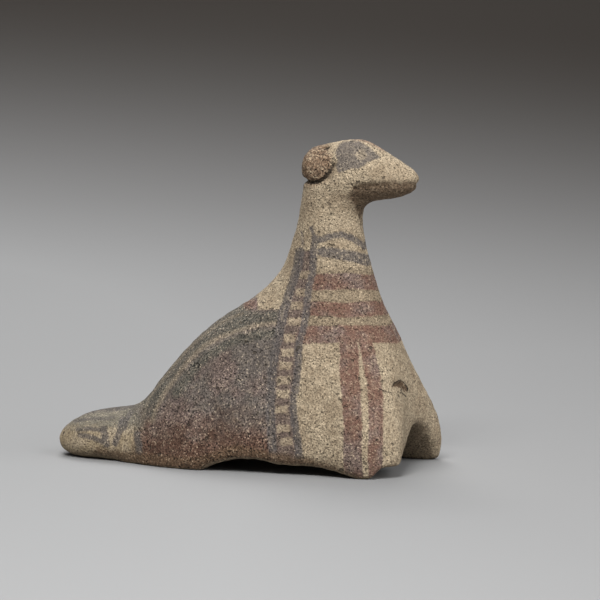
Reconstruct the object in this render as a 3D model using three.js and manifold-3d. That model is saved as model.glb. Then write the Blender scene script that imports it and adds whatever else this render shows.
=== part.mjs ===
// A small hand-built clay bird, hollow under a bell-shaped body, in one piece of fired clay.
// The body runs back into a broad flat tail, up into a thick neck and down into two blunt feet. The
// head has a blunt beak and a rounded crest knob that overhangs the nape. The wall is arched between
// the feet and along each side, and the toe on the right is chipped off.
// Millimetres. X points to the beak, Y to the bird's left and Z up. The origin is on the ground, under
// the middle of the figure.
import * as THREE from "three";
import { mergeVertices } from "three/addons/utils/BufferGeometryUtils.js";
import Module from "manifold-3d";

// Driving sizes
const HEIGHT = 87;
const LENGTH = 104;
const WIDTH = 50;
const WALL = 6.2;
const HOLLOW_HEIGHT = 44;
const SIDE_ARCH_HEIGHT = 3.8;
const FRONT_ARCH_HEIGHT = 11;
const FRONT_ARCH_WIDTH = 26;
const TOE_CHIP_HEIGHT = 2.8;
const VENT_WIDTH = 1.5;
const VENT_DEPTH = 6;
const LIP_ROUNDING = 2;
const TRUNK_ROUNDING = 3;
const FOOT_ROUNDING = 4;
const HEAD_ROUNDING = 1.5;
const TAIL_ROUNDING = 3;
const CELL = 2.6; // the grid that the surface is wrapped on

const CLAY = new THREE.MeshStandardMaterial({ color: 0xa8987c, roughness: 0.9, metalness: 0 });

// Places along the bird are shares of LENGTH from the tail's tip, heights are shares of HEIGHT and
// places and half widths across it are shares of half of WIDTH.
const along = (share) => share * LENGTH;
const up = (share) => share * HEIGHT;
const across = (share) => (share * WIDTH) / 2;

// The trunk and neck as level slices: height, back, breast, half width.
const TRUNK = [
  [-0.06, 0.19, 0.96, 0.95],
  [0.06, 0.203, 0.968, 0.97],
  [0.13, 0.227, 0.972, 0.95],
  [0.22, 0.276, 0.968, 0.88],
  [0.3, 0.33, 0.955, 0.8],
  [0.38, 0.392, 0.934, 0.7],
  [0.455, 0.47, 0.907, 0.58],
  [0.525, 0.56, 0.883, 0.47],
  [0.6, 0.622, 0.863, 0.385],
  [0.68, 0.648, 0.844, 0.33],
  [0.75, 0.665, 0.835, 0.31],
  [0.82, 0.677, 0.836, 0.3],
  [0.87, 0.688, 0.836, 0.29],
  [0.92, 0.71, 0.83, 0.27],
];
const TRUNK_TOP = 0.9; // inside the head

const FOOT_OUT = 0.74; // place across of a foot on the ground

// Each foot and its shoulder as level slices: height, middle, place across, reach along, reach across.
const FOOT = [
  [-0.06, 0.9, 0.73, 0.075, 0.2],
  [0.0, 0.905, FOOT_OUT, 0.085, 0.22],
  [0.09, 0.908, 0.7, 0.088, 0.27],
  [0.19, 0.894, 0.56, 0.073, 0.29],
  [0.27, 0.862, 0.42, 0.045, 0.22],
  [0.36, 0.82, 0.3, 0.015, 0.1],
];
const FOOT_TOP = 0.36;
const FOOT_JOIN = 8; // how softly a foot runs into the trunk, in millimetres

// The head and beak as upright slices: place, top, underside, half width.
const HEAD = [
  [0.69, 0.955, 0.89, 0.18],
  [0.73, 0.983, 0.86, 0.26],
  [0.78, 0.998, 0.825, 0.315],
  [0.83, 1.003, 0.811, 0.33],
  [0.865, 0.991, 0.81, 0.31],
  [0.9, 0.967, 0.814, 0.27],
  [0.935, 0.943, 0.82, 0.215],
  [0.96, 0.926, 0.83, 0.17],
  [0.978, 0.911, 0.844, 0.13],
  [0.992, 0.888, 0.858, 0.09],
];
const HEAD_CHEEK = 0.38; // how high the widest line runs, as a share of the head's own depth
const HEAD_FLOOR = 0.74; // below the head everything is neck and trunk

// The tail as upright slices: place, top, half width, and how far its round underside would go below
// its widest line.
const TAIL = [
  [0.002, 0.076, 0.18, 0.02],
  [0.03, 0.101, 0.32, 0.038],
  [0.076, 0.13, 0.45, 0.058],
  [0.137, 0.146, 0.54, 0.058],
  [0.22, 0.157, 0.6, 0.058],
  [0.36, 0.164, 0.66, 0.058],
];
const TAIL_MIDDLE = 0.045; // height of the widest line

const CREST = { at: [0.72, 0, 0.92], reach: [0.037, 0.34, 0.06] };
const CREST_JOIN = 1; // how softly the knob meets the nape, in millimetres
const CLAY_JOIN = 5; // how softly the other lumps of clay run together, in millimetres

const VENT_AT = 0.75;
const VENT_SIDE = -0.11; // off the middle, to the right
const VENT_MOUTH = 0.98;

// The arch along each side, between tail and foot: place, lift as a share of SIDE_ARCH_HEIGHT.
const SIDE_ARCH = [
  [0.44, -0.5],
  [0.5, 0.3],
  [0.55, 0.8],
  [0.62, 0.92],
  [0.7, 0.66],
  [0.8, 0.62],
  [0.88, 0.1],
  [0.94, -0.5],
];
const FRONT_ARCH_FROM = 0.875;
const FRONT_ARCH_SIDE = 0.24; // off the middle, to the left
const TOE_CHIP_FROM = 0.919; // where the break leaves the ground under the right foot's middle
const TOE_CHIP_INSIDE = 0.6; // how far it runs on toward the figure's middle
const TOE_CHIP_TURN = 0.36; // how far forward the break moves for each step outward
const CONTACT_SINK = 2; // how far the uncut wall would reach below the ground

// A smooth line through the rows of a table: row[0] is the place, row[column] the value there.
function lineThrough(table, column, scale) {
  const places = table.map((row) => row[0]);
  const values = table.map((row) => row[column]);
  const curve = new THREE.CubicInterpolant(places, values, 1);
  const first = places[0];
  const last = places[places.length - 1];
  return (share) => scale(curve.evaluate(THREE.MathUtils.clamp(share, first, last))[0]);
}

// Unions and cuts of distance fields whose edge is rounded over a width.
function join(a, b, width) {
  const h = THREE.MathUtils.clamp(0.5 + (b - a) / (2 * width), 0, 1);
  return THREE.MathUtils.lerp(b, a, h) - width * h * (1 - h);
}
const cut = (a, b, width) => -join(-a, -b, width);

// Turns any smooth function that is zero on the surface into a distance near it.
function asDistance(shape) {
  const step = 0.05;
  return (x, y, z) => {
    const value = shape(x, y, z);
    const slope = Math.hypot(
      shape(x + step, y, z) - value,
      shape(x, y + step, z) - value,
      shape(x, y, z + step) - value,
    );
    return (value * step) / Math.max(slope, 1e-6);
  };
}

// How far a point is out of a rounded section, 0 on its edge.
function outOf(a, b, power) {
  return (Math.abs(a) ** power + Math.abs(b) ** power) ** (1 / power) - 1;
}

const trunkBack = lineThrough(TRUNK, 1, along);
const trunkFront = lineThrough(TRUNK, 2, along);
const trunkSide = lineThrough(TRUNK, 3, across);
const trunkTube = asDistance((x, y, z) => {
  const share = z / HEIGHT;
  const squareness = 1 - THREE.MathUtils.smoothstep(share, 0.15, 0.6);
  const back = trunkBack(share);
  const front = trunkFront(share);
  const widest = THREE.MathUtils.lerp(back, front, 0.5 + 0.1 * squareness);
  const reach = x < widest ? widest - back : front - widest;
  const power = 2 + squareness * (x < widest ? 0.4 : 1.2);
  return outOf((x - widest) / reach, y / trunkSide(share), power);
});
const trunk = (x, y, z) => cut(trunkTube(x, y, z), z - up(TRUNK_TOP), TRUNK_ROUNDING);

const footMiddle = lineThrough(FOOT, 1, along);
const footSide = lineThrough(FOOT, 2, across);
const footLong = lineThrough(FOOT, 3, along);
const footWide = lineThrough(FOOT, 4, across);
const footTube = asDistance((x, y, z) => {
  const share = z / HEIGHT;
  const outward = Math.abs(y) - footSide(share);
  return outOf((x - footMiddle(share)) / footLong(share), outward / footWide(share), 2);
});
// A foot tapers so fast that its distance farther off is measured from its middle line instead.
function footAway(x, y, z) {
  const share = z / HEIGHT;
  const outward = Math.abs(y) - footSide(share);
  return Math.hypot(x - footMiddle(share), outward) - Math.max(footLong(share), footWide(share));
}
function foot(x, y, z) {
  return cut(Math.max(footTube(x, y, z), footAway(x, y, z)), z - up(FOOT_TOP), FOOT_ROUNDING);
}

const headTop = lineThrough(HEAD, 1, up);
const headUnder = lineThrough(HEAD, 2, up);
const headSide = lineThrough(HEAD, 3, across);
const headTube = asDistance((x, y, z) => {
  const share = x / LENGTH;
  const cheek = THREE.MathUtils.lerp(headUnder(share), headTop(share), HEAD_CHEEK);
  const reach = z > cheek ? headTop(share) - cheek : cheek - headUnder(share);
  return outOf(y / headSide(share), (z - cheek) / reach, 2);
});
const headEnds = (x, z) => Math.max(along(HEAD[0][0]) - x, x - along(HEAD.at(-1)[0]), up(HEAD_FLOOR) - z);
const head = (x, y, z) => cut(headTube(x, y, z), headEnds(x, z), HEAD_ROUNDING);

const tailTop = lineThrough(TAIL, 1, up);
const tailSide = lineThrough(TAIL, 2, across);
const tailKeel = lineThrough(TAIL, 3, up);
const tailTube = asDistance((x, y, z) => {
  const share = x / LENGTH;
  const middle = up(TAIL_MIDDLE);
  const reach = z > middle ? tailTop(share) - middle : tailKeel(share);
  return outOf(y / tailSide(share), (z - middle) / reach, 2.2);
});
const tailEnds = (x) => Math.max(along(TAIL[0][0]) - x, x - along(TAIL.at(-1)[0]));
const tail = (x, y, z) => cut(tailTube(x, y, z), tailEnds(x), TAIL_ROUNDING);

const crest = asDistance((x, y, z) => {
  const a = (x - along(CREST.at[0])) / along(CREST.reach[0]);
  const b = (y - across(CREST.at[1])) / across(CREST.reach[1]);
  const c = (z - up(CREST.at[2])) / up(CREST.reach[2]);
  return Math.hypot(a, b, c) - 1;
});

const sideLift = lineThrough(SIDE_ARCH, 1, (share) => share * SIDE_ARCH_HEIGHT);

// The height of the wall's lower edge above the ground. Below zero it stands on the ground.
function rimHeight(x, y) {
  const { smoothstep } = THREE.MathUtils;
  const share = x / LENGTH;
  const aside = Math.abs(y - across(FRONT_ARCH_SIDE)) / (FRONT_ARCH_WIDTH / 2);
  const forward = smoothstep(share, FRONT_ARCH_FROM - 0.05, FRONT_ARCH_FROM);
  const front = forward * (FRONT_ARCH_HEIGHT * (1 - aside ** 1.7) + CONTACT_SINK);
  return Math.max(sideLift(share), front - CONTACT_SINK);
}
const underRim = asDistance((x, y, z) => rimHeight(x, y) - z);

// The piece broken off the right toe. The break slopes up from the ground and then runs level.
function toeChip() {
  const slope = new THREE.Shape([
    new THREE.Vector2(-CONTACT_SINK, -CONTACT_SINK),
    new THREE.Vector2(TOE_CHIP_HEIGHT, TOE_CHIP_HEIGHT),
    new THREE.Vector2(WIDTH, TOE_CHIP_HEIGHT),
    new THREE.Vector2(WIDTH, -CONTACT_SINK),
  ]);
  return new THREE.ExtrudeGeometry(slope, { depth: WIDTH, bevelEnabled: false })
    .rotateX(Math.PI / 2)
    .translate(0, across(TOE_CHIP_INSIDE), 0)
    .rotateZ(Math.atan(TOE_CHIP_TURN))
    .translate(along(TOE_CHIP_FROM), -across(FOOT_OUT), 0);
}

function figure(x, y, z) {
  const body = join(trunk(x, y, z), foot(x, y, z), FOOT_JOIN);
  const outside = join(join(body, head(x, y, z), CLAY_JOIN), tail(x, y, z), CLAY_JOIN);
  const solid = join(outside, crest(x, y, z), CREST_JOIN);
  const hollow = cut(trunk(x, y, z) + WALL, z - HOLLOW_HEIGHT, CLAY_JOIN);
  const shell = cut(solid, -hollow, LIP_ROUNDING);
  return cut(shell, underRim(x, y, z), LIP_ROUNDING);
}

// Wraps the surface where a field is zero in one closed mesh: one vertex in each cell that the surface
// passes through, and a four-sided face round each grid edge that it crosses.
function wrap(field, box, cell) {
  const size = box.getSize(new THREE.Vector3());
  const [nx, ny, nz] = size.toArray().map((length) => Math.ceil(length / cell) + 1);
  const at = (i, j, k) => (k * ny + j) * nx + i;
  const point = (i, j, k) => new THREE.Vector3(i, j, k).multiplyScalar(cell).add(box.min);
  const values = new Float64Array(nx * ny * nz);
  for (let k = 0; k < nz; k++)
    for (let j = 0; j < ny; j++)
      for (let i = 0; i < nx; i++) values[at(i, j, k)] = field(...point(i, j, k).toArray());

  const corners = [0, 1].flatMap((c) => [0, 1].flatMap((b) => [0, 1].map((a) => [a, b, c])));
  const edges = corners.flatMap((p) =>
    [0, 1, 2].filter((axis) => p[axis] === 0).map((axis) => [p, p.map((v, n) => (n === axis ? 1 : v))]),
  );
  const vertices = [];
  const vertexOf = new Map();
  const addVertex = (i, j, k) => {
    const sum = new THREE.Vector3();
    let crossings = 0;
    for (const [p, q] of edges) {
      const a = values[at(i + p[0], j + p[1], k + p[2])];
      const b = values[at(i + q[0], j + q[1], k + q[2])];
      if (a < 0 === b < 0) continue;
      const from = point(i + p[0], j + p[1], k + p[2]);
      sum.add(from.lerp(point(i + q[0], j + q[1], k + q[2]), a / (a - b)));
      crossings++;
    }
    if (!crossings) return;
    vertexOf.set(at(i, j, k), vertices.length);
    vertices.push(sum.divideScalar(crossings));
  };
  for (let k = 0; k < nz - 1; k++)
    for (let j = 0; j < ny - 1; j++) for (let i = 0; i < nx - 1; i++) addVertex(i, j, k);

  const quads = [];
  const steps = [1, nx, nx * ny];
  const addQuad = (here, axis) => {
    const u = steps[(axis + 1) % 3];
    const v = steps[(axis + 2) % 3];
    const ring = [here, here - u, here - u - v, here - v].map((cellAt) => vertexOf.get(cellAt));
    quads.push(values[here] < 0 ? ring : ring.reverse());
  };
  for (let k = 1; k < nz - 1; k++)
    for (let j = 1; j < ny - 1; j++)
      for (let i = 1; i < nx - 1; i++)
        for (const axis of [0, 1, 2]) {
          const here = at(i, j, k);
          if (values[here] < 0 !== values[here + steps[axis]] < 0) addQuad(here, axis);
        }
  for (let round = 0; round < 4; round++) relax(vertices, quads, field);
  return toTriangles(vertices, quads);
}

// Evens out the faces: each vertex moves toward the middle of its neighbours and back to the surface.
function relax(vertices, quads, field) {
  const sums = vertices.map(() => new THREE.Vector3());
  const counts = vertices.map(() => 0);
  for (const quad of quads)
    quad.forEach((vertex, n) => {
      const next = quad[(n + 1) % 4];
      sums[vertex].add(vertices[next]);
      sums[next].add(vertices[vertex]);
      counts[vertex]++;
      counts[next]++;
    });
  vertices.forEach((vertex, n) => {
    vertex.lerp(sums[n].divideScalar(counts[n]), 0.6);
    settle(field, vertex);
  });
}

// Slides a point onto the surface.
function settle(field, p) {
  const step = 0.05;
  for (let n = 0; n < 2; n++) {
    const value = field(p.x, p.y, p.z);
    const slope = new THREE.Vector3(
      field(p.x + step, p.y, p.z) - value,
      field(p.x, p.y + step, p.z) - value,
      field(p.x, p.y, p.z + step) - value,
    ).divideScalar(step);
    p.addScaledVector(slope, -value / Math.max(slope.lengthSq(), 0.3));
  }
}

// Splits each four-sided face along its shorter diagonal.
function toTriangles(vertices, quads) {
  const index = quads.flatMap(([a, b, c, d]) => {
    const ac = vertices[a].distanceToSquared(vertices[c]);
    const bd = vertices[b].distanceToSquared(vertices[d]);
    return ac < bd ? [a, b, c, a, c, d] : [a, b, d, b, c, d];
  });
  const geometry = new THREE.BufferGeometry().setFromPoints(vertices);
  geometry.setIndex(index);
  return geometry;
}

const wasm = await Module();
wasm.setup();

function toSolid(geometry) {
  const bare = geometry.clone();
  bare.deleteAttribute("normal");
  bare.deleteAttribute("uv");
  const merged = mergeVertices(bare, 1e-4);
  const vertProperties = new Float32Array(merged.attributes.position.array);
  const triVerts = new Uint32Array(merged.index.array);
  return new wasm.Manifold(new wasm.Mesh({ numProp: 3, vertProperties, triVerts }));
}

function toGeometry(solid) {
  const { vertProperties, triVerts } = solid.getMesh();
  const geometry = new THREE.BufferGeometry();
  geometry.setAttribute("position", new THREE.BufferAttribute(new Float32Array(vertProperties), 3));
  geometry.setIndex([...triVerts]);
  return geometry;
}

function bird() {
  const spare = 2 * CELL;
  const box = new THREE.Box3(
    new THREE.Vector3(-spare, -WIDTH / 2 - spare, -CONTACT_SINK - spare),
    new THREE.Vector3(LENGTH + spare, WIDTH / 2 + spare, HEIGHT + spare),
  );
  const clay = toSolid(wrap(figure, box, CELL));

  // The feet and the tail stand flat on the ground.
  const above = new THREE.BoxGeometry(3 * LENGTH, 3 * WIDTH, 2 * HEIGHT).translate(0, 0, HEIGHT);
  // A small vent goes down into the crown, beside the knob.
  const ventLength = 2 * VENT_DEPTH;
  const vent = new THREE.CylinderGeometry(VENT_WIDTH / 2, VENT_WIDTH / 2, ventLength, 10)
    .rotateX(Math.PI / 2)
    .translate(along(VENT_AT), across(VENT_SIDE), up(VENT_MOUTH));

  const broken = toSolid(toeChip());
  const geometry = toGeometry(clay.intersect(toSolid(above)).subtract(toSolid(vent)).subtract(broken));
  geometry.computeBoundingBox();
  const middle = geometry.boundingBox.getCenter(new THREE.Vector3());
  geometry.translate(-middle.x, -middle.y, -geometry.boundingBox.min.z);
  geometry.computeVertexNormals();
  const mesh = new THREE.Mesh(geometry, CLAY);
  mesh.name = "clay_bird";
  return mesh;
}

const figurine = new THREE.Group();
figurine.add(bird());
export default figurine;
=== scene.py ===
# A small hand-built clay bird with worn paint, on a plain pale floor in soft studio light.
# The figure is one piece of fired clay. Its form comes from the frame's solid, and this file gives it the
# marks of the hand, the grain of coarse clay and its matt red and grey-blue paint.
# Places and lengths on the figure are millimetres. The frame and the studio are in metres, and MM joins
# the two.
import math

import bpy
import numpy as np
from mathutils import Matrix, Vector, noise


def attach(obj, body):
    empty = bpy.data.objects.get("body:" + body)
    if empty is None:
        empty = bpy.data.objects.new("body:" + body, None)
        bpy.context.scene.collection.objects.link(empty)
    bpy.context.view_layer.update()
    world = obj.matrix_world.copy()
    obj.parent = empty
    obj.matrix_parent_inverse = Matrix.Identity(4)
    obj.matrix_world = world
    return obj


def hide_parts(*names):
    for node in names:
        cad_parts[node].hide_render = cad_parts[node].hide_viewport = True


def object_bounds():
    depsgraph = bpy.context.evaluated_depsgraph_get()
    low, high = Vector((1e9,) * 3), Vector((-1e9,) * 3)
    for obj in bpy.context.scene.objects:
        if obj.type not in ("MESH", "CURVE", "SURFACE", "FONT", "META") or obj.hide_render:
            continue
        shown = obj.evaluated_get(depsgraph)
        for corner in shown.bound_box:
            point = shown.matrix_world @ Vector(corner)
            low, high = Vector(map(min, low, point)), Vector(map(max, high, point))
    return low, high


bl_info = {
    "name": "Painted clay bird",
    "version": (1, 0, 0),
    "blender": (4, 5, 0),
    "location": "View3D > Sidebar > Clay bird",
    "description": "Builds a small painted clay bird and its studio",
    "category": "Add Mesh",
}

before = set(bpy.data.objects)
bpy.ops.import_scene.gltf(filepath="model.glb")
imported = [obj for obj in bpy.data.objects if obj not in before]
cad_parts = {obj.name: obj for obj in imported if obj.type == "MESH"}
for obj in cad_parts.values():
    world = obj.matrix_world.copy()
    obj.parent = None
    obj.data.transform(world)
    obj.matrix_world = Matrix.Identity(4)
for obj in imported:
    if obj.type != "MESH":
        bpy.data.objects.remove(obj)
CAD_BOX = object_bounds()
NODE = "clay_bird"
MM = 0.001

# The painter's sheet is an upright plane through the neck, square to the studio camera. Its places are
# millimetres to the right of the neck and above the ground, as the camera sees them.
SHEET_FROM_TAIL = 69.24
SHEET_HEIGHT = 44.0
VIEW_TURN = math.radians(20)  # how far the beak comes toward the camera
VIEW_RISE = math.radians(5)
VIEW_DISTANCE = 900.0
VIEW_WIDTH = 160.2  # what the camera's frame spans on the sheet
SENSOR = 36.0

VIEW_RIGHT = np.array([math.cos(VIEW_TURN), math.sin(VIEW_TURN), 0])
VIEW_BACK = np.array(
    [
        math.sin(VIEW_TURN) * math.cos(VIEW_RISE),
        -math.cos(VIEW_TURN) * math.cos(VIEW_RISE),
        math.sin(VIEW_RISE),
    ]
)
VIEW_UP = np.cross(VIEW_BACK, VIEW_RIGHT)
VIEW_TARGET = np.array([CAD_BOX[0].x / MM + SHEET_FROM_TAIL, 0, SHEET_HEIGHT])

# Brush lines on the sheet: the places that the brush passes. Lists named for lines, bars, bands or
# strokes pair each brush line with its width.
LADDER_FRONT = [
    (4, 60.6), (3.6, 55), (3.4, 51.5), (2.3, 46), (1.7, 40.5), (1.1, 37), (-0.3, 32), (-0.7, 25.5),
    (-1.8, 17.5), (-1.5, 12), (-0.5, 5.3), (0.1, -4),
]
LADDER_REAR = [
    (0.2, 57), (-0.5, 53.1), (-2.4, 47.5), (-3.7, 42.7), (-5.1, 37.3), (-6.4, 32), (-7.5, 24.8), (-8, 16.8),
    (-7.5, 6.6), (-6.9, -4),
]
NECK_TICK = [(2.9, 63.4), (3.5, 61.6)]
NECK_THIN_LINE = [(0.4, 62.2), (0.9, 58.4)]
NECK_THIN_BAR = [(4.5, 60), (8, 60.9), (10.7, 61.3), (13.9, 60.4), (17, 58.2), (22, 56.5)]
NECK_GREY_BAR = [(6.2, 57.1), (8, 56.7), (12.5, 55.7), (18, 54.7), (24, 54.8)]
GREY_LINES = [
    (LADDER_FRONT, 2.0),
    (LADDER_REAR, 2.4),
    (NECK_TICK, 0.9),
    (NECK_THIN_LINE, 0.5),
    (NECK_THIN_BAR, 1.7),
    (NECK_GREY_BAR, 2.8),
]
RED_BARS = [
    ([(4, 48.6), (12, 49.1), (20, 48.6), (26, 48.4)], 4.1),
    ([(3, 41.7), (12, 41.2), (22, 41.8), (28, 42)], 3.9),
    ([(1.2, 34.6), (12, 34.9), (24, 34.9), (32, 34.5)], 4.8),
]
RED_BANDS = [
    ([(12.9, 33), (13.4, 22), (13.9, 13), (14.2, 3), (14.2, -5)], 5.1),
    ([(17.4, 33), (18.7, 27.2), (19.8, 22.4), (20.3, 17), (20.3, 3), (20, -6)], 3.9),
]
# The wing and back are one dark wash. Two pale lines are left in it, between green-grey strokes.
WING_WASH = [
    (-5, 41.4), (-11.2, 41.2), (-11.6, 47), (-22, 46), (-62, 20), (-43.6, 13), (-43.4, 9.5), (-45.2, 4),
    (-46.4, -8), (-7, -8), (-7.6, 7), (-8.3, 16.5), (-7.2, 26), (-5.3, 34.7),
]
WING_EDGE_LINE = [
    (-6.1, 37.9), (-12, 37.1), (-17.4, 35.7), (-21.4, 34.1), (-24.8, 32.3), (-27.5, 30.1), (-29.9, 27.4),
    (-32.8, 23.7), (-35.8, 19.4), (-38.2, 15.2), (-39.6, 11.6),
]
BACK_LINE = [
    (-15.2, 40.3), (-19.2, 38.7), (-23, 36.5), (-26.2, 34.1), (-29.4, 31.2), (-32.6, 27.7), (-36, 23.4),
    (-39.2, 19.2), (-40.9, 16.2), (-41.9, 13.3),
]
PALE_LINES = [(WING_EDGE_LINE, 1.2), (BACK_LINE, 0.5)]
ABOVE_WING = [*WING_EDGE_LINE, (-40, 12), (-62, 12), (-62, 50), (-15.5, 50), (-12.5, 41), (-5, 41)]
LOWER_BACK_STROKE = [
    (-6.1, 35.2), (-12, 34.7), (-16.8, 33.3), (-20.8, 31.5), (-24.6, 29.3), (-27.5, 26.7), (-30.2, 23.2),
    (-33.1, 19.2),
]
LOWER_BACK_WIDTH = 2.6
TAIL_GREY_STROKES = [
    ([(-63.4, 10.4), (-60.9, 12.9), (-57, 14.4), (-49.6, 15), (-44.6, 16)], 1.6),
    ([(-60, 11.6), (-56, 12.3), (-52, 12.2), (-49.6, 12.6)], 0.7),
    ([(-59.4, 9.4), (-56, 9.6), (-53.2, 9.2)], 1.1),
    ([(-58.6, 7.9), (-55.6, 7.2), (-53, 6.2), (-51.4, 5.2)], 1.4),
    ([(-52.6, 9.6), (-52.2, 7.4), (-51.8, 5.6)], 2.0),
    ([(-47.4, 12), (-48.2, 8.9), (-49.4, 5.8)], 1.7),
    ([(-45.2, 14), (-46.2, 12), (-46.9, 9.6)], 1.2),
    ([(-43.4, 8.4), (-43, 5.6), (-43, 3.4)], 1.7),
]
# The bare brown edge along the foot of the wall, behind the middle and before it.
REAR_RIM = [
    (-53.4, 1.8), (-40, 0.2), (-28, -0.6), (-23.5, 0.5), (-20, 2.1), (-16, 2.6), (-12, 1.8), (-8.5, 0.7),
    (-4, 0.4),
]
FRONT_RIM = [(-8.5, 0.7), (0, 0.5), (6.7, -0.9), (12, -3), (16.6, -5.1), (22, -4)]
RIM_LINES = [(REAR_RIM, 5.2), (FRONT_RIM, 2.8)]
RIM_TOP = 9.0  # no brown edge is above this
BACK_RED_PATCH = (-13.4, 43)
BACK_RED_REACH = (1.7, 1.5)
TAIL_RED_SPOT = (-43.3, 14.2)
TAIL_RED_REACH = (1.2, 2.4)
TAIL_FRONT = -42.0  # where the tail's bare clay begins, going back
EYE = [
    (9.3, 83.5), (10.7, 85.7), (13.3, 86.7), (15.5, 86.5), (17.6, 85.4), (19.2, 84.3), (20.6, 83.2),
    (21.4, 81.9), (19.2, 81.4), (17.4, 80.3), (15.5, 79.2), (13.4, 79.2), (11.5, 78.2), (10.1, 78.2),
    (9.3, 79.8), (9.9, 81.4),
]
PUPIL = (16.3, 82.9)
PUPIL_REACH = (1.5, 1.4)
# Under the beak: the clay sinks a little here, and painted shade darkens it.
UNDER_BEAK = [
    (13.9, 74.2), (17.4, 75.2), (24, 75.5), (31.5, 75.5), (33, 69.4), (18.7, 67), (16.6, 64), (15.5, 66),
    (14.2, 69.4), (12.8, 71.2),
]
KNOB = (3.4, 80.8)
KNOB_REACH = (5.0, 6.4)

# The ladder's pale cells, each by its middle.
LADDER_CELLS = [
    (1.3, 50.7), (0.6, 46), (-0.9, 42.3), (-1.5, 38.3), (-2.7, 34), (-3.2, 30.1), (-3.9, 26.4), (-4.4, 22.5),
    (-4.7, 18.9), (-4.9, 14.8), (-4.4, 9.7), (-3.6, 6.1),
]
CELL_WIDTH = 3.4
CELL_HEIGHT = 2.1

BRUSH_SWAY = 0.35  # how far the painter's hand strayed
BRUSH_SWAY_WIDTH = 7.0  # how long each stray is

# The thin red on the crown's ridge, by places along the figure and above the ground.
RIDGE_HALF_WIDTH = 1.6
RIDGE_EDGE = (37.0, 82.0)  # a place on its lower edge
RIDGE_CLIMB = 0.55  # how far that edge climbs for each step forward
RIDGE_REAR = 33.0
RIDGE_FACING = 0.35  # how far up a face of the ridge looks, from 0 to 1

# Where the clay was never painted: the wall of the hollow and what looks down.
HOLLOW_MIDDLE = 15.0
HOLLOW_BARE_TOP = 42.0
HOLLOW_EDGE = (1.0, 4.0)  # where the bare wall starts, and how soft its edge is
UNDER_BARE_TOP = 20.0
UNDER_EDGE = (0.6, 0.2)

# Marks in the clay on the sheet, as the places that they pass. Those named for the right are on that
# side alone.
KNOB_CREASE = [(0, 76.2), (2.6, 75.3), (4.8, 75.5), (6.8, 76.8), (8.2, 78.6), (9, 80.4)]
MOUTH_LINE = [(13.4, 74.7), (19, 74.9), (25, 75.2), (31, 75)]
CHEST_FLAKE_RIGHT = [
    (24.6, 21.1), (25.4, 22.1), (26.9, 22.7), (27.5, 22.1), (28.8, 20.5), (28.6, 19.6), (27.9, 19.6),
    (27.1, 20.5), (25.9, 20.9), (25, 20.9),
]
FOOT_GOUGE_RIGHT = [(22.2, 3.9), (23.4, 2.2)]
CRACKS_RIGHT = [
    [(4.8, 39), (6.7, 39.8), (8.8, 39.4)],
    [(24.5, 21), (25.4, 22.1), (26.9, 22.7), (27.5, 22.1), (28.8, 20.5), (28.6, 19.6)],
    [(26, 19.5), (27.5, 19), (28.3, 18.2)],
    [(21, 20.4), (22.7, 19.6), (24.6, 19.2)],
    FOOT_GOUGE_RIGHT,
]
CHEEK_PIT_RIGHT = [(14.5, 73.9), (14.9, 73.9)]
LEFT_OUT = 5.0  # keeps the left side this far from the painted shade of the right side's cracks and pit, and from its chip

CREASE_HALF_WIDTH = 0.65
MOUTH_HALF_WIDTH = 0.7
FLAKE_DEPTH = 0.6
FLAKE_SLOPE = 0.5  # how wide the slope at its edge is
UNDER_BEAK_DEPTH = 0.5
UNDER_BEAK_SLOPE = 0.7
GOUGE_DEPTH = 0.7
GOUGE_HALF_WIDTH = 0.7
PIT_DEPTH = 0.6
PIT_HALF_WIDTH = 0.6
MARK_FACING = -0.2  # how far away from the camera a marked face may look
# Painted shade darkens the crease, the cracks and the cheek's pit this far.
CREASE_SHADE = 0.45  # how far the painted shade reaches from the middle of the crease
CRACK_SHADE = 0.16
PIT_SHADE = 0.45

# The small vent in the crown goes straight down, so its place is along and across the figure.
VENT = (26.0, -2.75)
VENT_WIDTH = 1.5
VENT_TOP = 91.0
VENT_DEPTH = 11.5
VENT_FACES = 20
VENT_SHADE = 0.15  # how far the painted shade reaches round the vent

# Swells of the surface: how wide each is, and its share of the hand's wave or of the grain.
GRIT_SEED = Vector((3.1, 7.7, 1.3))
HAND_SWELLS = [(13, 1.0), (5.5, 0.55)]
GRAIN_SWELLS = [(2.1, 1.0), (1.15, 0.8)]

# Widths of the spots in the clay's colour.
FINE_SPOTS = 0.5
MEDIUM_SPOTS = 1.3
PIT_SPOTS = 0.48
FLECK_SPOTS = 0.45
HOLE_SPOTS = 1.4
COARSE_SPOTS = 5.0
BROAD_SPOTS = 12.0

# The bump that the spots raise: how deep it is in millimetres, and its share of that.
BUMP_DEPTH = 0.9
BUMP_STRENGTH = 0.9

# Where a noise starts and ends a change in the clay or its paint.
HOLE_STEP = (0.255, 0.19)
PATCH_STEP = (0.36, 0.6)
TAIL_CLAY_STEP = (0.4, 0.6)
WORN_STEP = (0.46, 0.66)
MAUVE_STEP = (0.44, 0.62)
WING_MAUVE_STEP = (0.42, 0.6)
FLECK_STEP = (0.6, 0.72)
FLAKE_STAIN_STEP = (0.66, 0.48)
FLAKE_STAIN_RANGE = (0.6, 0.97)
DARK_PIT_STEP = (0.44, 0.3)
DEEP_PIT_STEP = (0.46, 0.3)
ROUGH_STEP = (0.38, 0.62)
ROUGH_RANGE = (0.6, 1.35)
MATT_STEP = (0.3, 0.7)
MATT_RANGE = (0.82, 0.98)

# Where a height on the sheet or the distance from an edge starts and ends a change, in millimetres.
TAIL_STEP = (1.5, -1.5)
TAIL_TOP_STEP = (8, 11.5)
WING_RED_STEP = (17, 4)
WING_REAR_STEP = (-3.6, 1.2)
WING_REAR_RANGE = (0.3, 1)
PALE_LINE_STEP = (0.5, -0.5)
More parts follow.
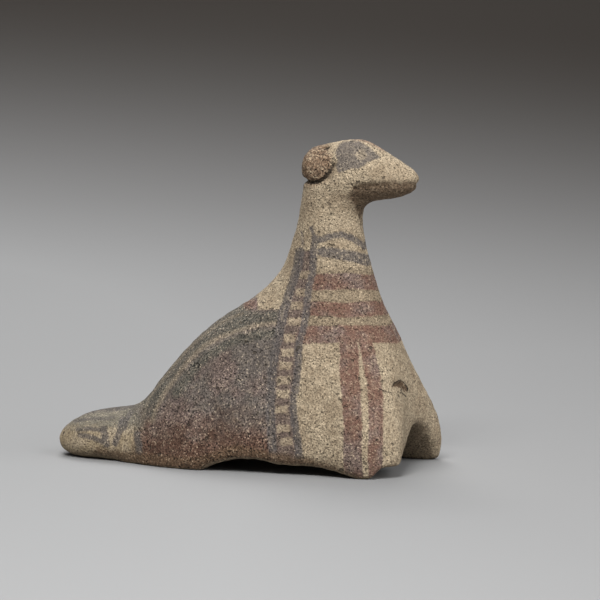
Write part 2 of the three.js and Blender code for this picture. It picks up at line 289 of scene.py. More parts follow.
# Where painted shade darkens the clay near the neck's red bars: by the distance from them, and by height.
NECK_SHADE_STEP = (4, 0)
NECK_SHADE_HEIGHT_STEP = (32.5, 36)
CREASE_STEP = (0.3, -0.15)
FLAKE_STEP = (0.25, -0.1)
CRACK_STEP = (0.12, -0.1)

# How strongly some of the paint and the grain show.
WING_STRENGTH = 0.97
PALE_LINE_STRENGTH = 0.4
WING_GRAIN = 0.6  # how much more grain shows on the wing than on bare clay
KNOB_GRAIN = 0.5
EYE_GRAIN = 0.35  # how much less of it shows on the eye
PIT_GRAIN = 0.6
MOTTLE = 0.4
WING_MOTTLE = 1.2
GRAIN_LIGHT = 1.08  # how light the grain leaves the clay on the whole
CLAY_SHINE = 0.25

# The floor's sweep, as shares of the floor's width.
SWEEP_START = 0.4
SWEEP_HEIGHT = 0.6
SWEEP_BEND = 0.3
SWEEP_SHARE = 0.046  # how high the painted shade on the sweep is darkest

# How many steps its bend has, and the floor's finish.
SWEEP_STEPS = 16
FLOOR_ROUGHNESS = 0.9
FLOOR_SHINE = 0.1

# The painted shade on the sweep darkens it sooner to the right and far away, as if it had risen by so much
# more, in metres.
SWEEP_LEAN = 0.09  # for each metre to the right
FAR_START = 0.28
FAR_END = 0.8
FAR_RISE = 0.012

AIR_COLOUR = (0.75, 0.77, 0.8, 1)
AIR_STRENGTH = 0.13


class ClayForm(bpy.types.PropertyGroup):
    """Sizes of the clay's surface"""

    mesh_size: bpy.props.FloatProperty(
        name="Mesh size", description="Width of the faces of the wrapped clay", default=0.545 * MM,
        unit="LENGTH", precision=5,
    )
    hand_wave: bpy.props.FloatProperty(
        name="Hand wave", description="Depth of the dents that shaping by hand left", default=0.22 * MM,
        unit="LENGTH", precision=5,
    )
    grain: bpy.props.FloatProperty(
        name="Grain", description="Depth of the coarse grain", default=0.1 * MM, unit="LENGTH", precision=5,
    )
    crease: bpy.props.FloatProperty(
        name="Crease", description="Depth of the crease under the knob", default=1.4 * MM, unit="LENGTH",
        precision=5,
    )
    mouth: bpy.props.FloatProperty(
        name="Mouth", description="Depth of the line below the beak", default=0.3 * MM, unit="LENGTH",
        precision=5,
    )


class ClayPaint(bpy.types.PropertyGroup):
    """Colours of the clay and its paint"""

    clay: bpy.props.FloatVectorProperty(
        name="Clay", description="Bare buff clay", subtype="COLOR", default=(0.4, 0.32, 0.22), min=0, max=1,
    )
    clay_dark: bpy.props.FloatVectorProperty(
        name="Dark clay", description="Darker patches of the clay", subtype="COLOR",
        default=(0.235, 0.18, 0.12), min=0, max=1,
    )
    red: bpy.props.FloatVectorProperty(
        name="Red", description="Dull red paint", subtype="COLOR", default=(0.172, 0.09, 0.066),
        min=0, max=1,
    )
    grey: bpy.props.FloatVectorProperty(
        name="Grey", description="Dark grey-blue paint", subtype="COLOR", default=(0.115, 0.1, 0.092),
        min=0, max=1,
    )
    wing: bpy.props.FloatVectorProperty(
        name="Wing", description="The wing's grey-brown wash", subtype="COLOR",
        default=(0.132, 0.112, 0.099), min=0, max=1,
    )
    wing_red: bpy.props.FloatVectorProperty(
        name="Wing red", description="Redder parts of the wing", subtype="COLOR",
        default=(0.112, 0.051, 0.031), min=0, max=1,
    )
    back: bpy.props.FloatVectorProperty(
        name="Back", description="Greenish dark grey along the back", subtype="COLOR",
        default=(0.098, 0.092, 0.075), min=0, max=1,
    )
    mauve: bpy.props.FloatVectorProperty(
        name="Mauve", description="Duller, greyer parts of the red", subtype="COLOR",
        default=(0.165, 0.117, 0.102), min=0, max=1,
    )
    ochre: bpy.props.FloatVectorProperty(
        name="Ochre", description="Yellower clay of the tail", subtype="COLOR",
        default=(0.36, 0.28, 0.18), min=0, max=1,
    )
    rim: bpy.props.FloatVectorProperty(
        name="Rim", description="Bare brown clay round the lower edge", subtype="COLOR",
        default=(0.14, 0.088, 0.052), min=0, max=1,
    )
    # The dark of the grain's holes, and also the colour of the painted shade in the crease, the cracks, the
    # cheek's pit and the vent.
    pit: bpy.props.FloatVectorProperty(
        name="Pit", description="Dirt in pits and creases", subtype="COLOR",
        default=(0.07, 0.055, 0.04), min=0, max=1,
    )
    knob: bpy.props.FloatVectorProperty(
        name="Knob", description="Red-brown of the knob", subtype="COLOR", default=(0.168, 0.104, 0.064),
        min=0, max=1,
    )


class ClayStudio(bpy.types.PropertyGroup):
    """Floor and lights"""

    floor: bpy.props.FloatVectorProperty(
        name="Floor", description="Pale floor", subtype="COLOR", default=(0.335, 0.335, 0.336), min=0, max=1,
    )
    # Painted shade: the dark tone that the floor takes on as it sweeps up.
    sweep_shade: bpy.props.FloatVectorProperty(
        name="Backdrop", description="Darker tone of the floor where it has swept up", subtype="COLOR",
        default=(0.05, 0.044, 0.039), min=0, max=1,
    )
    floor_size: bpy.props.FloatProperty(
        name="Floor size", description="Width of the floor", default=3.0, unit="LENGTH",
    )
    key: bpy.props.FloatProperty(
        name="Key", description="Light from the front, above", default=6.9, unit="POWER",
    )
    top: bpy.props.FloatProperty(
        name="Top", description="Light from above, behind", default=4.6, unit="POWER",
    )
    back: bpy.props.FloatProperty(
        name="Back", description="Light on the floor behind", default=5.2, unit="POWER",
    )
    fill: bpy.props.FloatProperty(
        name="Fill", description="Light from the right", default=5.2, unit="POWER",
    )


# Mesh helpers


def select_only(piece):
    """Leaves this piece alone selected and active."""
    bpy.ops.object.select_all(action="DESELECT")
    piece.select_set(True)
    bpy.context.view_layer.objects.active = piece


def apply_modifier(piece, kind, **settings):
    """Adds one modifier and applies it to the mesh."""
    select_only(piece)
    modifier = piece.modifiers.new(kind.title(), kind)
    for name, value in settings.items():
        setattr(modifier, name, value)
    bpy.ops.object.modifier_apply(modifier=modifier.name)


def places_of(piece):
    """The vertices as rows of millimetres, and their normals."""
    count = len(piece.data.vertices)
    places = np.empty(count * 3)
    normals = np.empty(count * 3)
    piece.data.vertices.foreach_get("co", places)
    piece.data.vertices.foreach_get("normal", normals)
    return places.reshape(-1, 3) / MM, normals.reshape(-1, 3)


def put_places(piece, places):
    """Moves the vertices to these places in millimetres."""
    piece.data.vertices.foreach_set("co", (places * MM).ravel())
    piece.data.update()


def put_value(piece, name, values):
    """Keeps one number for each vertex, for the material to read."""
    layer = piece.data.attributes.new(name, "FLOAT", "POINT")
    layer.data.foreach_set("value", values.astype(np.float32))


def wave(places, width, offset):
    """Smooth noise from -1 to 1 with swells of this width in millimetres."""
    return np.array([noise.noise(Vector(p) / width + offset) for p in places])


# Drawing on the sheet


def on_sheet(places):
    """Where the camera sees each place, with the left side folded over onto the right."""
    folded = places.copy()
    folded[:, 1] = -np.abs(folded[:, 1])
    offset = folded - VIEW_TARGET
    nearness = VIEW_DISTANCE / (VIEW_DISTANCE - offset @ VIEW_BACK)
    across = (offset @ VIEW_RIGHT) * nearness
    height = (offset @ VIEW_UP) * nearness + SHEET_HEIGHT
    return np.stack([across, height], axis=1)


def from_middle(at, line):
    """How far each place is from the middle of a line."""
    nearest = np.full(len(at), np.inf)
    for start, end in zip(line, line[1:]):
        start, way = np.array(start, float), np.subtract(end, start)
        share = np.clip((at - start) @ way / (way @ way), 0, 1)
        nearest = np.minimum(nearest, np.linalg.norm(at - start - share[:, None] * way, axis=1))
    return nearest


def from_line(at, line, width):
    """How far each place is from a brush line's edge, negative on the line."""
    return from_middle(at, line) - width / 2


def from_patch(at, outline):
    """How far each place is from a patch's edge, negative inside it."""
    distance = from_middle(at, [*outline, outline[0]])
    inside = np.zeros(len(at), bool)
    for (x0, y0), (x1, y1) in zip(outline, [*outline[1:], outline[0]]):
        straddles = (at[:, 1] < y0) != (at[:, 1] < y1)
        if y0 != y1:
            crossing = x0 + (at[:, 1] - y0) * (x1 - x0) / (y1 - y0)
            inside ^= straddles & (at[:, 0] < crossing)
    return np.where(inside, -distance, distance)


def from_oval(at, middle, reach):
    """How far each place is from an oval's edge, negative inside it."""
    share = np.linalg.norm((at - middle) / reach, axis=1)
    return (share - 1) * min(reach)


def nearest_of(*distances):
    """The distance from the nearest of several shapes."""
    return np.minimum.reduce(distances)


def from_lines(at, lines):
    """The distance from the nearest of several brush lines, each with its width."""
    return nearest_of(*[from_line(at, line, width) for line, width in lines])


def across_at(line, height):
    """Where a line that runs down the sheet is at each height."""
    rows = sorted(line, key=lambda point: point[1])
    return np.interp(height, [y for _, y in rows], [x for x, _ in rows])


# The figure


def copy_of_solid():
    """A welded copy of the frame's solid as the start of the figure."""
    piece = bpy.data.objects.new("painted_bird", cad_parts[NODE].data.copy())
    bpy.context.scene.collection.objects.link(piece)
    piece.data.materials.clear()
    select_only(piece)
    bpy.ops.object.mode_set(mode="EDIT")
    bpy.ops.mesh.select_all(action="SELECT")
    bpy.ops.mesh.remove_doubles(threshold=0.001 * MM)
    bpy.ops.mesh.normals_make_consistent(inside=False)
    bpy.ops.object.mode_set(mode="OBJECT")
    return piece


def wrap_evenly(piece, form):
    """Rounds off the facets and wraps the form in small even faces."""
    apply_modifier(piece, "SUBSURF", levels=2, render_levels=2)
    apply_modifier(piece, "REMESH", mode="VOXEL", voxel_size=form.mesh_size)
    apply_modifier(piece, "SMOOTH", factor=0.5, iterations=8)


def open_vent(piece):
    """Cuts the vent into the crown."""
    place = Vector((*VENT, VENT_TOP - VENT_DEPTH / 2)) * MM
    bpy.ops.mesh.primitive_cylinder_add(
        vertices=VENT_FACES, radius=VENT_WIDTH / 2 * MM, depth=VENT_DEPTH * MM, location=place,
    )
    drill = bpy.context.active_object
    apply_modifier(piece, "BOOLEAN", operation="DIFFERENCE", solver="EXACT", object=drill)
    bpy.data.objects.remove(drill)


def groove(at, line, depth, half_width):
    """How far the clay sinks along a line."""
    return depth * np.exp(-((from_middle(at, line) / half_width) ** 2))


def sunken(at, outline, depth, slope):
    """How far the clay sinks inside a patch."""
    return depth * np.clip(-from_patch(at, outline) / slope, 0, 1)


def press_by_hand(piece, form):
    """Dents, grain and the marks in the clay, as moves of the vertices."""
    places, normals = places_of(piece)
    at = on_sheet(places)
    on_right = (places[:, 1] < 0) & (normals @ VIEW_BACK > MARK_FACING)
    swells = [(form.hand_wave / MM, *swell) for swell in HAND_SWELLS]
    swells += [(form.grain / MM, *swell) for swell in GRAIN_SWELLS]
    raised = np.zeros(len(places))
    for order, (depth, width, share) in enumerate(swells, start=1):
        raised += depth * share * wave(places, width, GRIT_SEED * order)

    raised -= groove(at, KNOB_CREASE, form.crease / MM, CREASE_HALF_WIDTH)
    raised -= groove(at, MOUTH_LINE, form.mouth / MM, MOUTH_HALF_WIDTH)
    raised -= sunken(at, CHEST_FLAKE_RIGHT, FLAKE_DEPTH, FLAKE_SLOPE) * on_right
    raised -= sunken(at, UNDER_BEAK, UNDER_BEAK_DEPTH, UNDER_BEAK_SLOPE)
    raised -= groove(at, FOOT_GOUGE_RIGHT, GOUGE_DEPTH, GOUGE_HALF_WIDTH) * on_right
    raised -= groove(at, CHEEK_PIT_RIGHT, PIT_DEPTH, PIT_HALF_WIDTH) * on_right
    places = places + normals * raised[:, None]
    places[:, 2] = np.maximum(places[:, 2], 0)
    put_places(piece, places)


def ladder_cells(at):
    """The pale cells between the ladder's lines."""
    out = [np.abs(at - cell) - (CELL_WIDTH / 2, CELL_HEIGHT / 2) for cell in LADDER_CELLS]
    return nearest_of(*[cell.max(axis=1) for cell in out])


def ladder_fill(at):
    """The whole band between the ladder's lines."""
    front = at[:, 0] - across_at(LADDER_FRONT, at[:, 1])
    rear = across_at(LADDER_REAR, at[:, 1]) - at[:, 0]
    above = at[:, 1] - LADDER_REAR[0][1]
    return np.maximum.reduce([front, rear, above])


def from_ridge(places, normals):
    """How far each vertex is from the wash on the crown's ridge."""
    along, across, height = places.T
    below = RIDGE_EDGE[1] - height + (along - RIDGE_EDGE[0]) * RIDGE_CLIMB
    beside = np.abs(across) - RIDGE_HALF_WIDTH
    return np.maximum.reduce([beside, below, RIDGE_REAR - along, RIDGE_FACING - normals[:, 2]])


def bare_share(places, normals):
    """How bare the clay is, from 0 to 1: the wall of the hollow, the underside and the edge round them."""
    outward = normals[:, 0] * (places[:, 0] - HOLLOW_MIDDLE) + normals[:, 1] * places[:, 1]
    lined = np.clip((-HOLLOW_EDGE[0] - outward) / HOLLOW_EDGE[1], 0, 1) * (places[:, 2] < HOLLOW_BARE_TOP)
    under = np.clip((-UNDER_EDGE[0] - normals[:, 2]) / UNDER_EDGE[1], 0, 1) * (places[:, 2] < UNDER_BARE_TOP)
    return np.maximum(lined, under)


def from_painted_shade(places, sheet, left_out):
    """How far each vertex is from the painted shade in the cracks, the cheek's pit and the vent."""
    cracks = nearest_of(*[from_middle(sheet, line) for line in CRACKS_RIGHT]) - CRACK_SHADE
    cheek = from_middle(sheet, CHEEK_PIT_RIGHT) - PIT_SHADE
    vent = np.linalg.norm(places[:, :2] - VENT, axis=1) - VENT_WIDTH / 2 - VENT_SHADE
    vent = np.maximum(vent, VENT_TOP - VENT_DEPTH - places[:, 2])
    return nearest_of(cracks + left_out, cheek + left_out, vent)


def lay_paint(piece):
    """Keeps how far each vertex is from the edge of each paint, negative under the paint."""
    places, normals = places_of(piece)
    sheet = on_sheet(places)
    left_out = np.where(places[:, 1] < 0, 0, LEFT_OUT)
    hand = [wave(places, BRUSH_SWAY_WIDTH, GRIT_SEED * order) for order in (5, 6)]
    at = sheet + BRUSH_SWAY * np.stack(hand, axis=1)
    eye = from_patch(at, EYE)
    ladder = ladder_fill(at)
    layers = {
        "grey_paint": from_lines(at, GREY_LINES),
        "tail_paint": from_lines(at, TAIL_GREY_STROKES),
        "eye_paint": eye,
        "eye_ring": np.maximum(eye, -from_oval(at, PUPIL, PUPIL_REACH)),
        "rung_paint": np.maximum(ladder, -ladder_cells(at)),
        "ladder": ladder,
        "red_paint": from_lines(at, RED_BARS + RED_BANDS),
        "red_spot": nearest_of(
            from_oval(at, TAIL_RED_SPOT, TAIL_RED_REACH), from_oval(at, BACK_RED_PATCH, BACK_RED_REACH),
        ),
        "wing_wash": from_patch(at, WING_WASH),
        "back_stroke": nearest_of(
            from_patch(at, ABOVE_WING), from_line(at, LOWER_BACK_STROKE, LOWER_BACK_WIDTH),
        ),
        "wing_pale": from_lines(at, PALE_LINES),
        "knob_wash": from_oval(at, KNOB, KNOB_REACH),
        "behind_wing": at[:, 0] - TAIL_FRONT,
        "ridge_wash": from_ridge(places, normals),
        "bare": bare_share(places, normals),
        "rim": np.maximum(from_lines(at, RIM_LINES), places[:, 2] - RIM_TOP),
        # Painted shade in the crease under the knob, and in the cracks, the cheek's pit and the vent.
        "crease": from_middle(sheet, KNOB_CREASE) - CREASE_SHADE,
        "crack": from_painted_shade(places, sheet, left_out),
        "flake": from_patch(sheet, CHEST_FLAKE_RIGHT) + left_out,
        # Painted shade under the beak.
        "under_beak_shade": from_patch(at, UNDER_BEAK),
        "sheet_height": at[:, 1],
    }
    for name, values in layers.items():
        put_value(piece, name, values)


# Shader helpers


class Value:
    """A number in a material that can be added, multiplied and so on."""

    def __init__(self, tree, socket):
        self.tree = tree
        self.socket = socket

    def _maths(self, operation, first, second):
        return make_node(self.tree, "ShaderNodeMath", {"operation": operation}, {0: first, 1: second}, 0)

    def __add__(self, other):
        return self._maths("ADD", self, other)

    def __radd__(self, other):
        return self._maths("ADD", other, self)

    def __sub__(self, other):
        return self._maths("SUBTRACT", self, other)

    def __rsub__(self, other):
        return self._maths("SUBTRACT", other, self)

    def __mul__(self, other):
        return self._maths("MULTIPLY", self, other)

    def __rmul__(self, other):
        return self._maths("MULTIPLY", other, self)


def make_node(tree, kind, settings, values, output):
    """Adds a node, sets it, fills its sockets and gives back one output as a Value."""
    node = tree.nodes.new(kind)
    for name, value in settings.items():
        setattr(node, name, value)
    for name, value in values.items():
        socket = node.inputs[name]
        if isinstance(value, Value):
            tree.links.new(value.socket, socket)
        else:
            socket.default_value = value
    return Value(tree, node.outputs[output])


def painted_clay(paint):
    """Coarse clay with a red wash, grey lines and a dark wing, worn through at the grain's high points."""
    material = bpy.data.materials.new("painted_clay")
    material.use_nodes = True
    tree = material.node_tree
    shader = tree.nodes["Principled BSDF"]

    def node(kind, settings, values, output=0):
        return make_node(tree, kind, settings, values, output)

    def layer(name):
        return node("ShaderNodeAttribute", {"attribute_name": name}, {}, "Fac")

    def speckle(width, detail=2.0, shift=0.0):
        """Noise with spots of this width in millimetres, about 0.5 in the middle."""
        settings = {"noise_dimensions": "4D"}
        values = {"Vector": spot, "W": shift, "Scale": 1 / (width * MM), "Detail": detail, "Roughness": 0.6}
        return node("ShaderNodeTexNoise", settings, values)

    def ramp(value, low, high, start=0.0, end=1.0):
        """A soft step from start to end as the value goes from low to high."""
        values = {"Value": value, "From Min": low, "From Max": high, "To Min": start, "To Max": end}
        return node("ShaderNodeMapRange", {"interpolation_type": "SMOOTHSTEP"}, values)

    def blend(mask, under, over):
        """Colour over colour by a mask."""
        settings = {"data_type": "RGBA"}
        return node("ShaderNodeMix", settings, {0: mask, 6: under, 7: over}, 2)

    def stain(under, mask, over, strength):
        """Colour over colour by a mask that is nowhere stronger than this."""
        return blend(mask * strength, under, over)

    def mixed(first, second, share=0.6):
        """Two noises as one, with this share of the first."""
        return first * share + second * (1 - share)

    def stray(noise, reach):
        """How far a noise is from its middle, times a reach."""
        return (noise - 0.5) * reach

    def colour(rgb, gain=1.0):
        """One of the paint's colours, lighter or darker by a gain."""
        return (*[min(1.0, c * gain) for c in rgb], 1.0)

    spot = node("ShaderNodeTexCoord", {}, {}, "Object")
    fine = speckle(FINE_SPOTS, detail=1.0)
    medium = speckle(MEDIUM_SPOTS)
    pits = speckle(PIT_SPOTS, shift=3.0)
    flecks = speckle(FLECK_SPOTS, detail=1.0, shift=7.0)
    holes = ramp(speckle(HOLE_SPOTS, detail=0.0, shift=11.0), *HOLE_STEP)
    coarse = speckle(COARSE_SPOTS)
    broad = speckle(BROAD_SPOTS, detail=3.0)

    patches = ramp(mixed(coarse, medium), *PATCH_STEP)
    clay = blend(patches, colour(paint.clay_dark, gain=1.35), colour(paint.clay))
    tail_clay = blend(ramp(coarse, *TAIL_CLAY_STEP), colour(paint.ochre), colour(paint.clay))
    on_tail = ramp(layer("behind_wing"), *TAIL_STEP)
    clay = blend(on_tail, clay, tail_clay)

    ragged = stray(fine, reach=0.35) + stray(medium, reach=0.9)
    worn = ramp(mixed(medium, fine, share=0.7), *WORN_STEP)
    mauve = ramp(mixed(broad, coarse), *MAUVE_STEP)
    red_colour = blend(mauve, colour(paint.red), colour(paint.mauve))

    def cover(name, wear, softness=0.35):
        """Where a paint covers the clay: its edge is a little ragged and its thin spots are worn."""
        edge = ramp(layer(name) + ragged, softness, -softness)
        return edge * (1 - worn * wear)

    def wash(skin, name, over, strength, wear, softness=0.35):
        """Lays one paint over the skin."""
        return stain(skin, cover(name, wear, softness), over, strength)

    low = ramp(layer("sheet_height") + stray(coarse, reach=16), *WING_RED_STEP)
    mauve_parts = ramp(broad, *WING_MAUVE_STEP)
    wing_colour = stain(colour(paint.wing), mauve_parts, colour(paint.mauve), strength=0.8)
    wing_colour = stain(wing_colour, low, colour(paint.wing_red), strength=0.85)
    strokes = cover("back_stroke", wear=0.3, softness=0.8) * (1 - low)
    wing_colour = stain(wing_colour, strokes, colour(paint.back), strength=0.9)
    wing = cover("wing_wash", wear=0.15) * WING_STRENGTH
    pale = ramp(layer("wing_pale") + ragged, *PALE_LINE_STEP)
    wing = wing * (1 - pale * PALE_LINE_STRENGTH)
    rear_edge = layer("behind_wing") + stray(coarse, reach=6) + stray(medium, reach=4)
    wing = wing * ramp(rear_edge, *WING_REAR_STEP, *WING_REAR_RANGE)
    skin = blend(wing, clay, wing_colour)
    skin = wash(skin, "knob_wash", colour(paint.knob), strength=0.9, wear=0.5, softness=1.0)
    skin = wash(skin, "ridge_wash", colour(paint.red, gain=1.2), strength=0.5, wear=0.4, softness=0.6)
    skin = wash(skin, "red_spot", colour(paint.red, gain=0.95), strength=0.75, wear=0.3, softness=0.8)
    # Painted shade on the clay between and round the neck's red bars.
    neck_shade = ramp(layer("red_paint"), *NECK_SHADE_STEP) * ramp(layer("sheet_height"), *NECK_SHADE_HEIGHT_STEP)
    skin = stain(skin, neck_shade, colour(paint.clay_dark), strength=0.9)
    skin = wash(skin, "red_paint", red_colour, strength=0.92, wear=0.25)
    skin = wash(skin, "ladder", colour(paint.mauve), strength=0.18, wear=0.2)
    skin = wash(skin, "rung_paint", colour(paint.mauve, gain=0.72), strength=0.88, wear=0.2)
    skin = wash(skin, "grey_paint", colour(paint.grey), strength=0.88, wear=0.25)
    skin = wash(skin, "eye_paint", colour(paint.grey), strength=0.48, wear=0.3)
    skin = wash(skin, "eye_ring", colour(paint.grey), strength=0.68, wear=0.2)
    tail_top = on_tail * ramp(layer("sheet_height") + stray(medium, reach=4), *TAIL_TOP_STEP)
    skin = stain(skin, tail_top, colour(paint.back, gain=1.6), strength=0.8)
    skin = wash(skin, "tail_paint", colour(paint.grey), strength=0.85, wear=0.2, softness=0.4)
    skin = wash(skin, "rim", colour(paint.rim), strength=0.85, wear=0.2, softness=0.9)

    # Pale flecks and dark holes of the grain, the chip's bare clay, and painted shade in the crease, the
    # cracks, the cheek's pit and the vent.
    skin = stain(skin, ramp(flecks, *FLECK_STEP), colour(paint.clay, gain=1.5), strength=0.4)
    skin = stain(skin, holes, colour(paint.pit), strength=0.75)
    # Painted shade in the crease under the knob.
    shaded_crease = ramp(layer("crease") + stray(fine, reach=0.5), *CREASE_STEP)
    skin = stain(skin, shaded_crease, colour(paint.pit, gain=0.5), strength=0.85)
    flake = ramp(layer("flake") + stray(fine, reach=0.6) + stray(medium, reach=0.9), *FLAKE_STEP)
    flaked = flake * ramp(mixed(medium, fine), *FLAKE_STAIN_STEP, *FLAKE_STAIN_RANGE)
    skin = blend(flaked, skin, colour(paint.rim, gain=0.8))
    # Painted shade in the cracks, the cheek's pit and the vent.
    shaded_cracks = ramp(layer("crack") + stray(fine, reach=0.3), *CRACK_STEP)
    skin = stain(skin, shaded_cracks, colour(paint.pit, gain=0.6), strength=0.9)
    # Painted shade under the beak, in a darker brown than the bare rim.
    skin = wash(skin, "under_beak_shade", colour(paint.rim, gain=0.68), strength=0.88, wear=0.2, softness=0.8)
    skin = blend(layer("bare"), skin, colour(paint.clay_dark, gain=1.05))

    # The grain lightens and darkens clay and paint alike, more in rough patches.
    rough = ramp(mixed(coarse, broad, share=0.5), *ROUGH_STEP, *ROUGH_RANGE)
    rougher = 1 + wing * WING_GRAIN + cover("knob_wash", wear=0, softness=1.0) * KNOB_GRAIN
    rough = rough * rougher * (1 - cover("eye_ring", wear=0) * EYE_GRAIN)
    grain = stray(fine, reach=1.7) + stray(flecks, reach=1.2) - ramp(pits, *DARK_PIT_STEP) * PIT_GRAIN
    mottle = (mixed(coarse, medium, share=0.7) - 0.5) * (MOTTLE + wing * WING_MOTTLE)
    grain = (GRAIN_LIGHT + grain * rough) * (1 + mottle)
    settings = {"data_type": "RGBA", "blend_type": "MULTIPLY"}
    skin = node("ShaderNodeMix", settings, {0: 1.0, 6: skin, 7: grain}, 2)
    tree.links.new(skin.socket, shader.inputs["Base Color"])

    height = fine * 0.5 + medium * 0.4 + flecks * 0.2 - ramp(pits, *DEEP_PIT_STEP) * 0.4 - holes * 0.5
    values = {"Strength": BUMP_STRENGTH, "Distance": BUMP_DEPTH * MM, "Height": height}
    bump = node("ShaderNodeBump", {}, values)
    tree.links.new(bump.socket, shader.inputs["Normal"])
    roughness = ramp(fine, *MATT_STEP, *MATT_RANGE)
    tree.links.new(roughness.socket, shader.inputs["Roughness"])
    shader.inputs["Specular IOR Level"].default_value = CLAY_SHINE
    return material


# The studio


def pale_floor(studio):
    """A floor that sweeps up behind the figure in one curve."""
    size = studio.floor_size
    bpy.ops.object.select_all(action="DESELECT")
    bpy.ops.mesh.primitive_plane_add(size=size, location=(0, 0, 0), rotation=(0, 0, VIEW_TURN))
    floor = bpy.context.active_object
    floor.name = "studio_floor"
    bpy.ops.object.transform_apply(location=True, rotation=True, scale=True)
    back = Vector(-VIEW_BACK).normalized()
    for edge in floor.data.edges:
        middle = (floor.data.vertices[edge.vertices[0]].co + floor.data.vertices[edge.vertices[1]].co) / 2
        edge.select = middle.dot(back) > size * SWEEP_START
    for vertex in floor.data.vertices:
        vertex.select = vertex.co.dot(back) > size * SWEEP_START
    for face in floor.data.polygons:
        face.select = False
    bpy.ops.object.mode_set(mode="EDIT")
    bpy.ops.mesh.select_mode(type="EDGE")
    bpy.ops.mesh.extrude_region_move(TRANSFORM_OT_translate={"value": (0, 0, size * SWEEP_HEIGHT)})
    bpy.ops.mesh.select_all(action="DESELECT")
    bpy.ops.object.mode_set(mode="OBJECT")
    apply_modifier(floor, "BEVEL", width=size * SWEEP_BEND, segments=SWEEP_STEPS, limit_method="ANGLE")
    bpy.ops.object.shade_smooth()
    return floor


def floor_paint(studio):
    """Matt paint, pale on the floor, with painted shade that darkens it as it sweeps up."""
    material = bpy.data.materials.new("studio_floor")
    material.use_nodes = True
    tree = material.node_tree
    shader = tree.nodes["Principled BSDF"]

    def steps_toward(way):
        """How far a place on the floor is this way from the middle, in metres."""
        settings = {"operation": "DOT_PRODUCT"}
        return make_node(tree, "ShaderNodeVectorMath", settings, {0: spot, 1: way}, "Value")

    spot = make_node(tree, "ShaderNodeTexCoord", {}, {}, "Object")
    height = make_node(tree, "ShaderNodeSeparateXYZ", {}, {"Vector": spot}, "Z")
    beside = steps_toward(VIEW_RIGHT)
    away = steps_toward((-VIEW_BACK[0], -VIEW_BACK[1], 0))
    values = {"Value": away, "From Min": FAR_START, "From Max": FAR_END, "To Max": FAR_RISE}
    far = make_node(tree, "ShaderNodeMapRange", {}, values, 0)
    # Painted shade: the floor darkens toward the sweep's dark tone as it rises, sooner to the right and far
    # away.
    values = {"Value": height + far + beside * SWEEP_LEAN, "From Max": studio.floor_size * SWEEP_SHARE}
    risen = make_node(tree, "ShaderNodeMapRange", {}, values, 0)
    tones = {0: risen * (2 - risen), 6: (*studio.floor, 1), 7: (*studio.sweep_shade, 1)}
    tone = make_node(tree, "ShaderNodeMix", {"data_type": "RGBA"}, tones, 2)
    tree.links.new(tone.socket, shader.inputs["Base Color"])
    shader.inputs["Roughness"].default_value = FLOOR_ROUGHNESS
    shader.inputs["Specular IOR Level"].default_value = FLOOR_SHINE
    return material


def soft_light(name, power, size, across, toward, height):
    """A square light aimed at the figure, so far right of it, toward the camera and above, in metres."""
    bpy.ops.object.light_add(type="AREA")
    light = bpy.context.active_object
    light.name = name
    light.data.energy = power
    light.data.shape = "SQUARE"
    light.data.size = size
    level = Vector((VIEW_BACK[0], VIEW_BACK[1], 0)).normalized()
    target = Vector(VIEW_TARGET) * MM
    light.location = target + Vector(VIEW_RIGHT) * across + level * toward + Vector((0, 0, height))
    light.rotation_euler = (light.location - target).to_track_quat("Z", "Y").to_euler()


def studio_camera():
    """The camera in front of the figure, square to the sheet."""
    bpy.ops.object.camera_add()
    camera = bpy.context.active_object
    camera.name = "studio_camera"
    camera.location = Vector(VIEW_TARGET + VIEW_BACK * VIEW_DISTANCE) * MM
    camera.rotation_euler = Vector(VIEW_BACK).to_track_quat("Z", "Y").to_euler()
    camera.data.sensor_width = SENSOR
    camera.data.lens = SENSOR * VIEW_DISTANCE / VIEW_WIDTH
    camera.data.clip_start = 0.01
    camera.data.dof.use_dof = False
    bpy.context.scene.camera = camera


class CLAYBIRD_OT_figure(bpy.types.Operator):
    """Makes the clay bird: its form, the marks in its clay and its paint"""

    bl_idname = "claybird.figure"
    bl_label = "Clay bird"

    def execute(self, context):
        form = context.scene.clay_form
        paint = context.scene.clay_paint
        piece = copy_of_solid()
        wrap_evenly(piece, form)
        press_by_hand(piece, form)
        open_vent(piece)
        lay_paint(piece)
        select_only(piece)
        bpy.ops.object.shade_smooth()
        piece.data.materials.append(painted_clay(paint))
        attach(piece, "root")
        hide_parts(NODE)
        return {"FINISHED"}


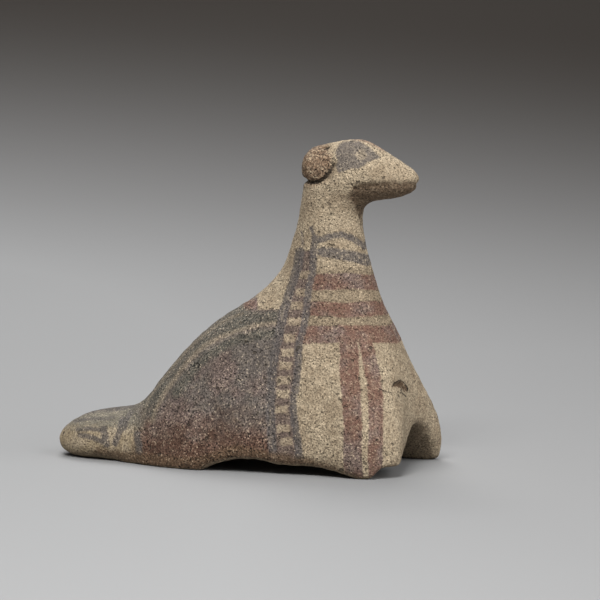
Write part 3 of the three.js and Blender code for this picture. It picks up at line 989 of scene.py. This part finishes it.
class CLAYBIRD_OT_studio(bpy.types.Operator):
    """Makes the floor, the lights and the camera"""

    bl_idname = "claybird.studio"
    bl_label = "Studio"

    def execute(self, context):
        studio = context.scene.clay_studio
        floor = pale_floor(studio)
        floor.data.materials.append(floor_paint(studio))
        soft_light("key_light", studio.key, size=0.36, across=-0.1, toward=0.58, height=0.66)
        soft_light("top_light", studio.top, size=0.5, across=-0.1, toward=-0.55, height=0.9)
        soft_light("fill_light", studio.fill, size=0.8, across=0.65, toward=0.5, height=0.45)
        soft_light("back_light", studio.back, size=0.6, across=-0.15, toward=-0.95, height=0.8)
        world = bpy.data.worlds.new("studio_air")
        world.use_nodes = True
        world.node_tree.nodes["Background"].inputs["Color"].default_value = AIR_COLOUR
        world.node_tree.nodes["Background"].inputs["Strength"].default_value = AIR_STRENGTH
        context.scene.world = world
        context.scene.view_settings.view_transform = "Standard"
        studio_camera()
        return {"FINISHED"}


class CLAYBIRD_PT_panel(bpy.types.Panel):
    """The figure, its studio and their settings"""

    bl_idname = "CLAYBIRD_PT_panel"
    bl_label = "Clay bird"
    bl_space_type = "VIEW_3D"
    bl_region_type = "UI"
    bl_category = "Clay bird"

    def draw(self, context):
        for operator in (CLAYBIRD_OT_figure, CLAYBIRD_OT_studio):
            self.layout.operator(operator.bl_idname)
        for settings in (context.scene.clay_form, context.scene.clay_paint, context.scene.clay_studio):
            for name in settings.__annotations__:
                self.layout.prop(settings, name)


CLASSES = (ClayForm, ClayPaint, ClayStudio, CLAYBIRD_OT_figure, CLAYBIRD_OT_studio, CLAYBIRD_PT_panel)


def register():
    for item in CLASSES:
        bpy.utils.register_class(item)
    bpy.types.Scene.clay_form = bpy.props.PointerProperty(type=ClayForm)
    bpy.types.Scene.clay_paint = bpy.props.PointerProperty(type=ClayPaint)
    bpy.types.Scene.clay_studio = bpy.props.PointerProperty(type=ClayStudio)


def unregister():
    del bpy.types.Scene.clay_studio
    del bpy.types.Scene.clay_paint
    del bpy.types.Scene.clay_form
    for item in reversed(CLASSES):
        bpy.utils.unregister_class(item)


def main():
    register()
    bpy.ops.claybird.figure()
    bpy.ops.claybird.studio()


if __name__ == "__main__":
    main()
